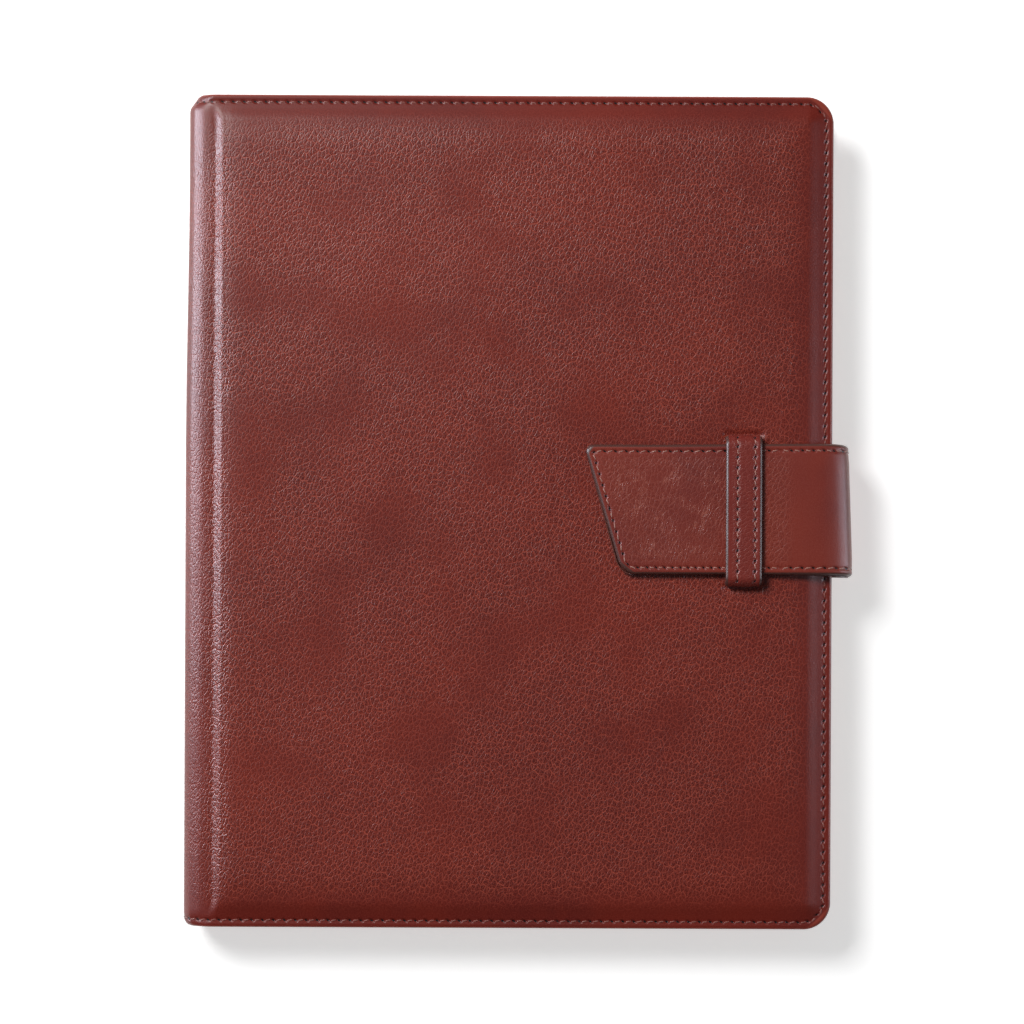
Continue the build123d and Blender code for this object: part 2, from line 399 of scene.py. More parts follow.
def tubes(name, centres, ups, radius, squash=0.8):
    """Short closed threads: centres and ups are arrays of (thread, point, 3)."""
    count, points, sides = centres.shape[0], centres.shape[1], 6
    along = np.gradient(centres, axis=1)
    along /= np.linalg.norm(along, axis=-1, keepdims=True)
    side = np.cross(ups, along)
    side /= np.linalg.norm(side, axis=-1, keepdims=True)
    up = np.cross(along, side)
    taper = np.ones(points)
    taper[[0, -1]] = 0.35
    angle = np.arange(sides) * 2 * math.pi / sides
    around = (
        side[:, :, None] * np.cos(angle)[None, None, :, None]
        + up[:, :, None] * np.sin(angle)[None, None, :, None] * squash
    )
    verts = centres[:, :, None] + around * (radius * taper)[None, :, None, None]
    index = np.arange(count * points * sides).reshape(count, points, sides)
    nxt = np.roll(index, -1, axis=2)
    quads = np.stack([index[:, :-1], nxt[:, :-1], nxt[:, 1:], index[:, 1:]], -1).reshape(-1, 4)
    caps = np.concatenate([index[:, 0, ::-1].reshape(-1, sides), index[:, -1].reshape(-1, sides)])
    return new_object(name, verts, quads.tolist() + caps.tolist())


thread_profile = np.linspace(-1, 1, 7)
thread_dip = 0.45  # how far a stitch's ends go into the leather


def thread_points(sheet, a, b, direction, length, slant, rise, depth=None):
    """One stitch out of the leather and back into it, on the outer face or at a depth under it."""
    c, s = math.cos(slant), math.sin(slant)
    ta, tb = direction
    way_a, way_b = ta * c + tb * s, tb * c - ta * s
    reach = thread_profile * length / 2
    pa, pb = a + way_a * reach, b + way_b * reach
    base = sheet.place(pa, pb)
    over_a = sheet.place(pa + 0.2, pb) - sheet.place(pa - 0.2, pb)
    over_b = sheet.place(pa, pb + 0.2) - sheet.place(pa, pb - 0.2)
    up = np.cross(over_a, over_b)
    up /= np.linalg.norm(up, axis=-1, keepdims=True)
    lifted = sheet.place(pa, pb, 1.0) - base
    up *= np.sign((up * lifted).sum(-1))[:, None]
    height = rise - (rise + thread_dip) * np.abs(thread_profile) ** 3
    if depth is None:
        return base + up * height[:, None], up
    return base - up * (depth + height)[:, None], -up


def sewn_row(name, sheet, keep, radius=0.22, visible=2.1, rise=0.06, slant=0.2, depth=None):
    """Every stitch of the sheet's row whose place passes keep(a, b)."""
    centres, ups = [], []
    for side_a in (-1, 1):
        for side_b in (-1, 1):
            radius_here = float(sheet.corner_radius(np.array(sheet.mid_a + side_a), np.array(side_b)))
            total = sheet.quarter_row(radius_here)
            for n in range(int(total / sheet.pitch + 0.02)):
                a, b, way = sheet.stitch_place((n + 0.5) * sheet.pitch, side_a, side_b)
                if not keep(a, b):
                    continue
                turn = slant * side_a * side_b
                points, up = thread_points(sheet, a, b, way, visible, turn, rise)
                centres.append(points)
                ups.append(up)
                if depth is not None:
                    points, up = thread_points(sheet, a, b, way, visible, -turn, rise, depth)
                    centres.append(points)
                    ups.append(up)
    if not centres:
        return None
    return tubes(name, np.array(centres), np.array(ups), radius)


# ---------------------------------------------------------------- materials


def linear(red, green, blue):
    """An sRGB colour, 0 to 255, as the linear values a shader takes."""
    values = [c / 255 for c in (red, green, blue)]
    return [c / 12.92 if c < 0.04045 else ((c + 0.055) / 1.055) ** 2.4 for c in values] + [1.0]


class Nodes:
    """A short way to write a material's nodes."""

    def __init__(self, name):
        self.material = bpy.data.materials.new(name)
        self.material.use_nodes = True
        self.tree = self.material.node_tree
        self.shader = self.tree.nodes["Principled BSDF"]

    def add(self, kind, inputs=(), **settings):
        node = self.tree.nodes.new(kind)
        for key, value in settings.items():
            setattr(node, key, value)
        for key, value in dict(inputs).items():
            self.put(node.inputs[key], value)
        return node

    def put(self, socket, value):
        if hasattr(value, "is_output"):
            self.tree.links.new(value, socket)
        else:
            socket.default_value = value

    def math(self, operation, a, b=0.0):
        return self.add("ShaderNodeMath", {0: a, 1: b}, operation=operation).outputs[0]

    def times(self, a, b):
        return self.math("MULTIPLY", a, b)

    def plus(self, a, b):
        return self.math("ADD", a, b)

    def minus(self, a, b):
        return self.math("SUBTRACT", a, b)

    def vector(self, operation, a, b=(0, 0, 0)):
        node = self.add("ShaderNodeVectorMath", {0: a}, operation=operation)
        if operation == "SCALE":
            self.put(node.inputs["Scale"], b)
        else:
            self.put(node.inputs[1], b)
        return node.outputs[0]

    def map(self, value, from_low, from_high, low=0.0, high=1.0):
        return self.add(
            "ShaderNodeMapRange",
            {0: value, 1: from_low, 2: from_high, 3: low, 4: high},
            interpolation_type="SMOOTHSTEP",
        ).outputs[0]

    def mix(self, share, a, b):
        node = self.add("ShaderNodeMix", data_type="RGBA")
        for socket, value in zip((node.inputs[0], node.inputs[6], node.inputs[7]), (share, a, b)):
            self.put(socket, value)
        return node.outputs[2]

    def noise(self, vector, scale, detail=2.0, rough=0.5, dims="2D"):
        return self.add(
            "ShaderNodeTexNoise",
            {"Vector": vector, "Scale": scale, "Detail": detail, "Roughness": rough},
            noise_dimensions=dims,
        ).outputs[0]

    def cracks(self, vector, scale):
        """Distance to the nearest line of a network of cells."""
        return self.add(
            "ShaderNodeTexVoronoi",
            {"Vector": vector, "Scale": scale, "Randomness": 1.0},
            voronoi_dimensions="2D",
            feature="DISTANCE_TO_EDGE",
        ).outputs["Distance"]

    def stretched(self, vector, turn, length):
        """A place turned by an angle and stretched along its own y axis."""
        inputs = {"Vector": vector, "Rotation": (0, 0, turn), "Scale": (1.0, length, 1.0)}
        return self.add("ShaderNodeMapping", inputs, vector_type="TEXTURE").outputs[0]

    def uv(self, name):
        """A map in millimetres."""
        return self.vector("SCALE", self.add("ShaderNodeUVMap", uv_map=name).outputs[0], 1000.0)

    def solid(self):
        """A place in space, in millimetres."""
        return self.vector("SCALE", self.add("ShaderNodeTexCoord").outputs["Object"], 1000.0)

    def split(self, vector):
        node = self.add("ShaderNodeSeparateXYZ", {0: vector})
        return node.outputs[0], node.outputs[1]

    def bump(self, height, distance, strength=1.0, normal=None):
        inputs = {"Height": height, "Distance": distance, "Strength": strength}
        if normal is not None:
            inputs["Normal"] = normal
        return self.add("ShaderNodeBump", inputs).outputs[0]

    def set(self, **values):
        for key, value in values.items():
            self.put(self.shader.inputs[key.replace("_", " ")], value)
        return self.material


edge_paint = linear(92, 56, 50)
hide_dark, hide_warm, hide_light = linear(103, 23, 15), linear(122, 30, 14), linear(190, 86, 66)
# the second colour is painted shade: the near-black inside of a needle hole
hollow_dark, hole_shade = linear(60, 12, 9), linear(6, 2, 2)
grain_depth, hole_depth = 0.000042, 0.0002
slit_length, slit_width, slit_lean = 0.52, 0.28, math.radians(-24)


def from_needle_holes(n, rows, pitch):
    """Distance to the nearest needle hole, one for each stitch, from each row's (distance along, off)."""
    nearest = None
    for s, off in rows:
        along = n.times(n.minus(n.math("FRACT", n.plus(n.math("DIVIDE", s, pitch), 0.5)), 0.5), pitch)
        long_way = n.plus(n.times(along, math.cos(slit_lean)), n.times(off, math.sin(slit_lean)))
        short_way = n.minus(n.times(off, math.cos(slit_lean)), n.times(along, math.sin(slit_lean)))
        long_part = n.math("POWER", n.math("DIVIDE", long_way, slit_length), 2.0)
        short_part = n.math("POWER", n.math("DIVIDE", short_way, slit_width), 2.0)
        distance = n.plus(long_part, short_part)
        nearest = distance if nearest is None else n.math("MINIMUM", nearest, distance)
    return nearest


def near_band(n, across, band, fade=5.0):
    """A band's own value inside it and 1 outside, from its (middle, half width, value)."""
    middle, reach, value = band
    off = n.math("ABSOLUTE", n.minus(across, middle))
    return n.map(off, reach, reach + fade, value, 1.0)


def leather(name, dark, warm, light, grain=1.0, smooth_edge=(3.5, 15.0), row=2.4, pitch=3.5, holes=True,
            paint_width=None, cell=0.8, lean_grain=0.3, calm_band=None, raised=None, rows=None,
            shift=0.0, creased=None):
    """Leather with a pale network of lines over darker cells, patches of colour, and needle holes painted dark
    as shade.

    The grain fades over smooth_edge towards the edge and in calm_band, and is deeper in raised. creased is where
    long folds come in. rows replaces the sewn row by straight ones, as (start, places across). paint_width is
    how far the painted edge reaches in.
    """
    n = Nodes(name)
    own_place = n.uv("Grain")
    across, b = n.split(own_place)
    place = n.vector("ADD", own_place, (shift, shift * 0.7, 0.0)) if shift else own_place
    seam_s, seam_d = n.split(n.uv("Seam"))

    # the network of lines, warped and slanted, in two sizes
    wander = {"Vector": place, "Scale": 0.4, "Detail": 2.0}
    wander = n.add("ShaderNodeTexNoise", wander, noise_dimensions="2D").outputs[1]
    warped = n.vector("ADD", place, n.vector("SCALE", wander, 0.7))
    slanted = n.stretched(warped, lean_grain, 1.7)
    big, small = n.cracks(slanted, cell), n.cracks(slanted, cell * 2.1)
    fine = n.noise(place, 2.6, 3.0, 0.6)
    patches = n.noise(place, 0.017, 3.0, 0.55)
    mottle = n.noise(place, 0.13, 3.0, 0.6)
    calm = n.noise(n.vector("ADD", place, (31.0, 57.0, 0.0)), 0.03, 2.0)
    grainy = n.times(n.map(seam_d, smooth_edge[0], smooth_edge[1]), n.map(calm, 0.25, 0.55, 0.55, 1.0))
    if calm_band:
        grainy = n.times(grainy, near_band(n, across, calm_band))
    big_line, small_line = n.map(big, 0.0, 0.085, 1.0, 0.0), n.map(small, 0.0, 0.12, 1.0, 0.0)
    faded = n.map(n.noise(place, 0.5, 2.0), 0.3, 0.62, 0.4, 1.0)
    line = n.times(n.math("MAXIMUM", n.times(big_line, faded), n.times(small_line, 0.5)), grainy)

    # colour: warm patches, darker cells and pits, and the paler lines
    colour = n.mix(n.map(patches, 0.28, 0.78), dark, warm)
    colour = n.mix(n.map(mottle, 0.35, 0.75, 0.0, 0.35), colour, warm)
    colour = n.mix(n.times(n.map(fine, 0.35, 0.75), 0.16), colour, light)
    hollow = n.times(n.map(big, 0.08, 0.34), n.map(small, 0.06, 0.3, 0.35, 1.0))
    pit = n.map(n.noise(place, 2.0, 3.0, 0.65), 0.52, 0.38)
    shade = n.math("MAXIMUM", n.times(hollow, 0.42), n.times(pit, 0.5))
    colour = n.mix(n.times(shade, n.times(grainy, grain)), colour, hollow_dark)
    colour = n.mix(n.times(line, 0.85 * grain), colour, light)

    # height: rounded cells between the lines
    cells = n.plus(n.map(big, 0.0, 0.24), n.times(n.map(small, 0.0, 0.3), 0.45))
    height = n.plus(n.times(n.minus(cells, 1.45), grainy), n.times(fine, 0.28))
    if creased:
        folds = n.noise(n.stretched(warped, 0.5, 6.0), 0.55, 3.0, 0.6)
        fold = n.map(n.math("ABSOLUTE", n.minus(folds, 0.5)), 0.0, 0.034, 1.0, 0.0)
        fold = n.times(n.times(fold, n.map(mottle, 0.38, 0.62)), n.map(across, creased[0], creased[1]))
        fold = n.times(fold, n.map(seam_d, 3.0, 8.0))
        colour = n.mix(n.times(fold, 0.6), colour, light)
        height = n.minus(height, n.times(fold, 0.5))
    if raised:
        height = n.times(height, near_band(n, across, raised))
    normal = n.bump(height, grain_depth)
    rough = n.map(fine, 0.3, 0.7, 0.40, 0.52)

    if holes:
        sewn = [(seam_s, n.minus(seam_d, row))]
        if rows:
            sewn = [(n.minus(across, rows[0]), n.minus(b, at)) for at in rows[1]]
        far = from_needle_holes(n, sewn, pitch)
        hole, drawn = n.map(far, 0.55, 1.25, 1.0, 0.0), n.map(far, 0.5, 7.0, 1.0, 0.0)
        # painted shade: the leather round each hole, where the thread draws it into a dip, is painted a little
        # darker
        colour = n.mix(n.times(drawn, 0.25), colour, dark)
        # painted shade: the inside of each needle hole is painted near-black
        colour = n.mix(n.times(hole, 0.97), colour, hole_shade)
        normal = n.bump(n.plus(n.times(drawn, -0.6), n.times(hole, -1.0)), hole_depth, 1.0, normal)
        rough = n.math("MAXIMUM", rough, n.times(hole, 0.9))
    if paint_width:
        edge = n.map(n.plus(seam_d, n.times(fine, 0.25)), paint_width - 0.12, paint_width + 0.22, 1.0, 0.0)
        colour = n.mix(edge, colour, edge_paint)
        rough = n.plus(n.times(rough, n.minus(1.0, edge)), n.times(edge, 0.42))
    else:
        # the last millimetre in from the edge is painted paler
        pale_rim = n.map(seam_d, 0.2, 1.0, 0.35, 0.0)
        colour = n.mix(pale_rim, colour, light)
    return n.set(Base_Color=colour, Roughness=rough, Normal=normal, Specular_IOR_Level=0.12, IOR=1.5,
                 Coat_Weight=0.6, Coat_Roughness=0.36, Coat_Normal=normal)


def woven(name, colour, pale, thread=0.32, depth=0.00006):
    """Plain-woven cloth; thread is the pitch of two threads."""
    n = Nodes(name)
    place = n.uv("Grain")
    x, y = n.split(place)
    warp = n.math("SINE", n.times(x, 2 * math.pi / thread))
    weft = n.math("SINE", n.times(y, 2 * math.pi / thread))
    weave = n.times(warp, weft)
    slub = n.noise(place, 0.9, 4.0, 0.7)
    tone = n.plus(n.map(weave, -1.0, 1.0, 0.0, 0.6), n.map(slub, 0.3, 0.7, -0.2, 0.4))
    height = n.plus(weave, n.times(slub, 1.5))
    return n.set(Base_Color=n.mix(tone, colour, pale), Roughness=0.85, Normal=n.bump(height, depth, 0.8),
                 Specular_IOR_Level=0.25, Sheen_Weight=0.25)


def fibrous(name, colour, pale, rough, scale, depth=0.00004, stripes=None):
    """Paper, board or foam, from a solid texture; stripes is the pitch of sheet lines up the block, painted
    darker as shade in the gaps.
    """
    n = Nodes(name)
    place = n.solid()
    fleck = n.noise(place, scale, 5.0, 0.65, "3D")
    wide = n.noise(place, 0.05, 2.0, 0.5, "3D")
    tone = n.plus(n.map(fleck, 0.35, 0.7, 0.0, 0.6), n.map(wide, 0.3, 0.7, 0.0, 0.35))
    height = fleck
    mixed = n.mix(tone, colour, pale)
    if stripes:
        up = n.add("ShaderNodeSeparateXYZ", {0: place}).outputs[2]
        wobble = n.times(n.noise(place, 0.08, 2.0, 0.5, "3D"), 0.5)
        line = n.math("FRACT", n.math("DIVIDE", n.plus(up, wobble), stripes))
        gap = n.map(line, 0.0, 0.28, 1.0, 0.0)
        facing = n.add("ShaderNodeNewGeometry").outputs["Normal"]
        side = n.add("ShaderNodeSeparateXYZ", {0: facing}).outputs[2]
        gap = n.times(gap, n.map(n.math("ABSOLUTE", side), 0.3, 0.8, 1.0, 0.0))
        # painted shade: the gaps between the sheets on the block's sides are painted darker
        mixed = n.mix(n.times(gap, 0.45), mixed, linear(150, 138, 120))
        height = n.minus(n.times(fleck, 0.3), gap)
    return n.set(Base_Color=mixed, Roughness=rough, Normal=n.bump(height, depth, 0.8), Specular_IOR_Level=0.3)


def twisted(name, colour, pale):
    """Twisted sewing thread."""
    n = Nodes(name)
    place = n.solid()
    wave = n.add(
        "ShaderNodeTexWave",
        {"Vector": place, "Scale": 1.1, "Distortion": 1.5, "Detail": 2.0},
        bands_direction="DIAGONAL",
    ).outputs["Fac"]
    fuzz = n.noise(place, 0.35, 3.0, 0.6, "3D")
    colour = n.mix(n.times(n.plus(wave, fuzz), 0.5), colour, pale)
    return n.set(Base_Color=colour, Roughness=0.5, Normal=n.bump(wave, 0.00008, 0.7), Sheen_Weight=0.2)


# ---------------------------------------------------------------- the cover's leather


def ripple(a, b, size):
    """The slow rise and fall of leather over a padded board."""
    return size * (
        np.sin(a * 0.061 + 1.3 + 1.1 * np.sin(b * 0.023))
        + np.sin(b * 0.047 + 0.4 + 1.3 * np.sin(a * 0.031 + 2.0))
        + 0.5 * np.sin(a * 0.13 + b * 0.09)
    )


middle_z = closed_thickness / 2
spine_upper = spine_creases[1]
spine_outline = [
    (fore_edge, flange_top),
    (hinge_x - 0.6, flange_top),
    (hinge_x + 0.34 * (spine_x - hinge_x), flange_top - 0.45),
    (hinge_x + 0.66 * (spine_x - hinge_x), flange_top - 1.9),
    (spine_x + 1.5, spine_upper[1] + 1.3),
    (spine_x + 0.9, middle_z),
]
girth = Path(spine_outline + [(x, 2 * middle_z - z) for x, z in spine_outline[-2::-1]], 0.8)
front_end = girth.where(x=hinge_x)
back_start = girth.length - front_end
spine_cut_x = (hinge_x + spine_x) / 2
first_cut = girth.where(x=spine_cut_x)
cuts = [first_cut, girth.length / 2, girth.length - first_cut]

keeper_a = girth.where(x=keeper_x)
cover_row = 2.4
cover_radius = 8.7
slope_foot, slope_top, shoulder_end = 2.2, 8.6, 17.0
slit_middle, slit_reach = 0.6, keeper_span + 0.7  # where the keeper's ends go into the leather


def cover_lift(a, b, d):
    """How far the padded board raises the leather above its sewn edge."""
    from_hinge = np.maximum(front_end - a, a - back_start)
    ends = half_height - np.abs(b)
    drawn = 2.2 * (1 - smooth(ends, 0.0, 10.0))
    flat = 0.72 * smooth(from_hinge + drawn, 0.4, 3.4) + 0.28 * smooth(from_hinge + drawn, 0.8, 9.0)
    body = 0.5 * smooth(d, slope_foot, slope_top) + 0.5 * smooth(d, slope_foot, shoulder_end)
    crown = 0.10 * smooth(d, 8.0, 60.0)
    soft = ripple(a, b, 0.05) * smooth(d, 6.0, 30.0)
    valley = 0.16 * bell(d, cover_row, 0.75)
    from_slit = np.abs(np.abs(b - slit_middle) - slit_reach)
    beside_keeper = smooth(np.abs(a - keeper_a), keeper_half - 0.4, keeper_half + 1.4)
    slit = 0.65 * bell(from_slit, 0, 1.0) * (1 - beside_keeper)
    spine_soft = 0.12 * np.sin(b * 0.11 + 1.0) * (1 - smooth(np.abs(from_hinge), 0.0, 8.0))
    in_spine = smooth(-from_hinge, 0.0, 5.0)
    return (panel_rise - 0.25) * flat * body + (crown + soft) * flat - valley - slit + spine_soft * in_spine


def cover_warp(flat, a, b):
    """The spine is drawn in where its head and tail are sewn."""
    head, tail = half_height - b, half_height + b
    pinch = 0.36 * (1 - smooth(head, -1.2, 5.0)) + 0.16 * (1 - smooth(tail, -0.8, 3.0))
    pinch = pinch + 0.10 * smooth(b, 20.0, 110.0) - 0.03 * smooth(-b, 0.0, 110.0)
    out = np.minimum(flat[..., 0] - hinge_x, 0)
    flat = flat.copy()
    flat[..., 0] -= out * np.clip(pinch, 0, 0.6)
    flattened = 0.05 * smooth(-out, 0.0, 4.0) * (1 - smooth(np.minimum(head, tail), 0.0, 6.0))
    flat[..., 1] = middle_z + (flat[..., 1] - middle_z) * (1 - flattened)
    return flat, b


rim = flange_thick / 2
cover = Sheet(girth, half_height, [cover_radius] * 4, rim, math.pi, turn=0.6, deep=1.0, inset=1.7,
              lift=cover_lift, warp=cover_warp, row=cover_row)
cover_a = cover.along(
    (9.5, 0.45), (keeper_a - 9, 3.0), (keeper_a + 9, 0.6), (front_end - 6, 3.0), (cuts[0], 0.4),
    (cuts[1], 0.5), (cuts[2], 0.5), (back_start + 6, 0.4), (girth.length - 9.5, 3.0),
    (girth.length - rim, 0.45))
cover_b = cover.across_it(
    (10 - half_height, 0.45), (-keeper_span - 5, 3.0), (4 - keeper_span, 0.5), (keeper_span - 2, 3.0),
    (keeper_span + 6, 0.5), (half_height - 10, 3.0), (half_height - rim, 0.45))
cover_grid = Grid(cover, cover_a, cover_b)

cover_leather = leather("cover_leather", hide_dark, hide_warm, hide_light, pitch=cover.pitch, row=cover_row,
                        calm_band=(girth.length / 2, 11.0, 0.5),
                        raised=(girth.length / 2, 18.0, 1.9))

blend_out, blend_in = 2.6, 2.0  # how far a bend reaches from its crease, along the cover and along the spine
cover_blends = [
    ("spine_upper", "front_cover", (hinge_x - blend_in, 0, 0), (hinge_x + blend_out, 0, 0)),
    ("spine_middle", "spine_upper", (0, 0, middle_z + 0.6), (0, 0, middle_z + 4.6)),
    ("spine_lower", "spine_middle", (0, 0, middle_z - 4.6), (0, 0, middle_z - 0.6)),
    ("back_cover", "spine_lower", (hinge_x + blend_out, 0, 0), (hinge_x - blend_in, 0, 0)),
]
cover_parts = [
    ("front_cover_leather", None, cuts[0], ("front_leather", "spine_leather_upper")),
    ("spine_leather_high", cuts[0], cuts[1], ("spine_leather_middle",)),
    ("spine_leather_low", cuts[1], cuts[2], ("spine_leather_lower",)),
    ("back_cover_leather", cuts[2], None, ("back_leather",)),
]
for (name, start, end, nodes), blend in zip(cover_parts, cover_blends):
    piece = cover_grid.piece(name, start, end)
    finish_piece(piece, cover_leather, blend=blend, replaces=nodes)

thread = twisted("cover_thread", linear(112, 48, 40), linear(176, 104, 90))
cover_ends = [0.0, *cuts, girth.length]
cover_rows = zip(("front", "spine_high", "spine_low", "back"), cover_blends, cover_ends[:-1], cover_ends[1:])
for part, blend, low, high in cover_rows:
    row = sewn_row(part + "_stitches", cover, lambda a, b: low <= a < high, depth=flange_thick)
    finish_piece(row, thread, blend=blend)


# ---------------------------------------------------------------- the strap

q0, q1, q2, q3 = strap_creases
tongue_top = tongue_high[2]
tip_x = tongue_low[0] - 0.8
tip_slant = 12.4
root_z = 3.7
strap_radii = [1.8, 1.8, 4.6, 3.2]
strap_row = 2.2
strap_points = [
    (fore_edge - 18, root_z),
    (fore_edge - 0.4, root_z),
    (q0[0] + 1.2, q0[1] + 0.4),
    (q1[0] - 1.3, q1[1] + 0.6),
    (q1[0] - 0.9, (q1[1] + q2[1]) / 2),
    (q2[0] - 1.2, q2[1] - 0.6),
    (q2[0] - 2.6, q2[1] + 2.6),
    (q3[0] + 3.2, tongue_top - 1.0),
    (q3[0] - 1.0, tongue_top - 0.2),
    (q3[0] - 7.0, tongue_top),
    (tip_x, tongue_top),
]
band = Path(strap_points, 1.3)
strap_out = band.where(x=fore_edge + 0.4)
strap_cuts = [
    band.where(x=(q0[0] + q1[0]) / 2, after=10),
    band.where(z=(q1[1] + q2[1]) / 2),
    band.where(z=(q2[1] + q3[1]) / 2),
]


def strap_warp_from(path, reverse):
    """The slanted tip, and the strap set a little askew round the fore-edge."""

    def warp(flat, a, b):
        along = path.length - a if reverse else a
        flat = flat.copy()
        slant = tip_slant * (strap_half - b) / (2 * strap_half)
        to_tip = smooth(along, band.length * 0.55, band.length)
        flat[..., 0] += slant * to_tip
        outside = smooth(flat[..., 0], fore_edge - 8.0, fore_edge + 6.0)
        flat[..., 0] -= 0.035 * b * outside
        skew = -1.3 * (1 - smooth(along, strap_cuts[0], strap_cuts[2] + 8))
        near_end = smooth(flat[..., 0], 40.0, fore_edge)
        return flat, b * (1 + 0.012 * near_end) + skew + 1.0 + 0.3 * near_end

    return warp


def strap_lift(a, b, d):
    soft = ripple(a * 2.2, b * 2.2, 0.05) * smooth(d, 2.0, 9.0)
    valley = 0.14 * bell(d, strap_row, 0.6)
    flat = smooth(a, strap_cuts[2] + 10, strap_cuts[2] + 24)
    under_keeper = bell(a, band.where(x=keeper_x, after=60), 9.0)
    pad = 0.10 * smooth(d, 2.4, 7.0)
    return (soft * flat + pad - valley) - 0.14 * under_keeper * smooth(d, 1.0, 3.0)


strap_rim = strap_thick / 2
strap = Sheet(band, strap_half, strap_radii, strap_rim, math.pi / 2, deep=strap_rim, lift=strap_lift,
              warp=strap_warp_from(band, False), row=strap_row)
strap_a = strap.along(
    (strap_cuts[0], 0.6), (strap_cuts[1], 0.5), (strap_cuts[2], 0.5), (strap_cuts[2] + 14, 0.6),
    (band.length - 8, 1.2), (band.length - strap_rim, 0.4))
strap_b = strap.across_it(
    (7 - strap_half, 0.4), (0, 1.2), (strap_half - 7, 1.2), (strap_half - strap_rim, 0.4))
strap_grid = Grid(strap, strap_a, strap_b)
under = band.other_side(strap_thick, 0.8)
lining_cuts = [
    under.where(x=(q0[0] + q1[0]) / 2 - 1.2, after=under.length - 30),
    under.where(z=(q1[1] + q2[1]) / 2),
    under.where(z=(q2[1] + q3[1]) / 2 - 2.08),
]
strap_under = Sheet(under, strap_half, strap_radii[2:] + strap_radii[:2], strap_rim, math.pi / 2,
                    deep=strap_rim, warp=strap_warp_from(under, True), row=strap_row)
under_a = strap_under.along(
    (8, 0.4), (lining_cuts[2] - 14, 1.2), (lining_cuts[2], 0.6), (lining_cuts[1], 0.5), (lining_cuts[0], 0.5),
    (under.length - strap_rim, 0.6))
under_grid = Grid(strap_under, under_a, strap_b)

strap_blends = [
    ("back_cover", "strap_lower", (fore_edge - 0.4, 0, 0), (q0[0] + 1.8, 0, 0)),
    ("strap_lower", "strap_middle", (0, 0, q1[1] + 0.6), (0, 0, q1[1] + 5.0)),
    ("strap_middle", "strap_upper", (0, 0, q2[1] - 5.0), (0, 0, q2[1] + 0.2)),
    ("strap_upper", "strap_tongue", (q3[0] + 3.0, 0, 0), (q3[0] - 3.0, 0, 0)),
]
strap_leather = leather(
    "strap_leather", linear(118, 38, 32), linear(138, 48, 34), linear(176, 100, 84), grain=0.45,
    smooth_edge=(1.5, 5.0), row=strap_row, pitch=strap.pitch, paint_width=0.85, cell=0.7, shift=160.0,
    lean_grain=0.5, creased=(strap_cuts[2] + 26, strap_cuts[2] + 44), calm_band=(strap_cuts[1], 26.0, 0.15))
strap_lining = leather(
    "strap_lining_leather", linear(88, 44, 38), linear(104, 52, 42), linear(134, 82, 70), grain=0.4,
    smooth_edge=(1.0, 3.0), row=strap_row, pitch=strap_under.pitch, paint_width=1.0, cell=0.7, shift=420.0)
strap_names = ("root", "lower", "upper", "tongue")
strap_nodes = (("strap_root", "strap_leather_lower"), (), ("strap_leather_middle",),
               ("strap_leather_upper", "strap_leather_tongue"))
under_nodes = ((), ("strap_lining_lower",), ("strap_lining_middle",),
               ("strap_lining_upper", "strap_lining_tongue"))
strap_ends = [None, *strap_cuts, None]
under_ends = [None, *lining_cuts, None]
strap_thread = twisted("strap_thread", linear(150, 92, 80), linear(204, 150, 134))
for n, (part, blend) in enumerate(zip(strap_names, strap_blends)):
    piece = strap_grid.piece("strap_outer_" + part, strap_ends[n], strap_ends[n + 1])
    finish_piece(piece, strap_leather, blend=blend, replaces=strap_nodes[n])
    piece = under_grid.piece("strap_inner_" + part, under_ends[n + 1], under_ends[n])
    finish_piece(piece, strap_lining, blend=blend, replaces=under_nodes[n])
    low, high = strap_ends[n] or strap_out + 1.0, strap_ends[n + 1] or band.length
    row = sewn_row("strap_stitches_" + part, strap, lambda a, b: low <= a < high, radius=0.2,
                   depth=strap_thick)
    if row:
        finish_piece(row, strap_thread, blend=blend)


# ---------------------------------------------------------------- the keeper

keeper_foot = closed_thickness - 1.6
shoulder = 1.9
keeper_thick = 2.0
keeper_rim = keeper_thick / 2
keeper_start, keeper_pitch, keeper_rows = 5.5, 3.3, (-2.1, 3.5)
loop_points = [
    (keeper_span + 1.0, keeper_foot),
    (keeper_span + 0.95, keeper_top - shoulder),
    (keeper_span + 0.85 - shoulder, keeper_top),
    (0, keeper_top + 0.1),
    (-keeper_span + 0.4 + shoulder, keeper_top),
    (-keeper_span + 0.4, keeper_top - shoulder),
    (-keeper_span + 0.3, keeper_foot),
]
loop = Path(loop_points, 0.9)
inner_loop = loop.other_side(keeper_thick, 0.5)


def keeper_lift(a, b, d):
    valleys = 0.12 * sum(bell(b, row, 0.6) for row in keeper_rows)
    return 0.16 * smooth(d, 1.4, 4.0) - valleys + 0.05 * np.sin(a * 0.35)


def keeper_sheet(path, lift):
    sheet = Sheet(path, keeper_half, [1.3] * 4, keeper_rim, math.pi / 2, deep=keeper_rim, lift=lift,
                  across="x", middle=keeper_x)
    end = path.length - keeper_rim
    along = sheet.along((16, 0.4), (path.length - 16, 1.0), (end, 0.4))
    across = sheet.across_it((0, 0.35), (keeper_half - keeper_rim, 0.35))
    return sheet, Grid(sheet, along, across)


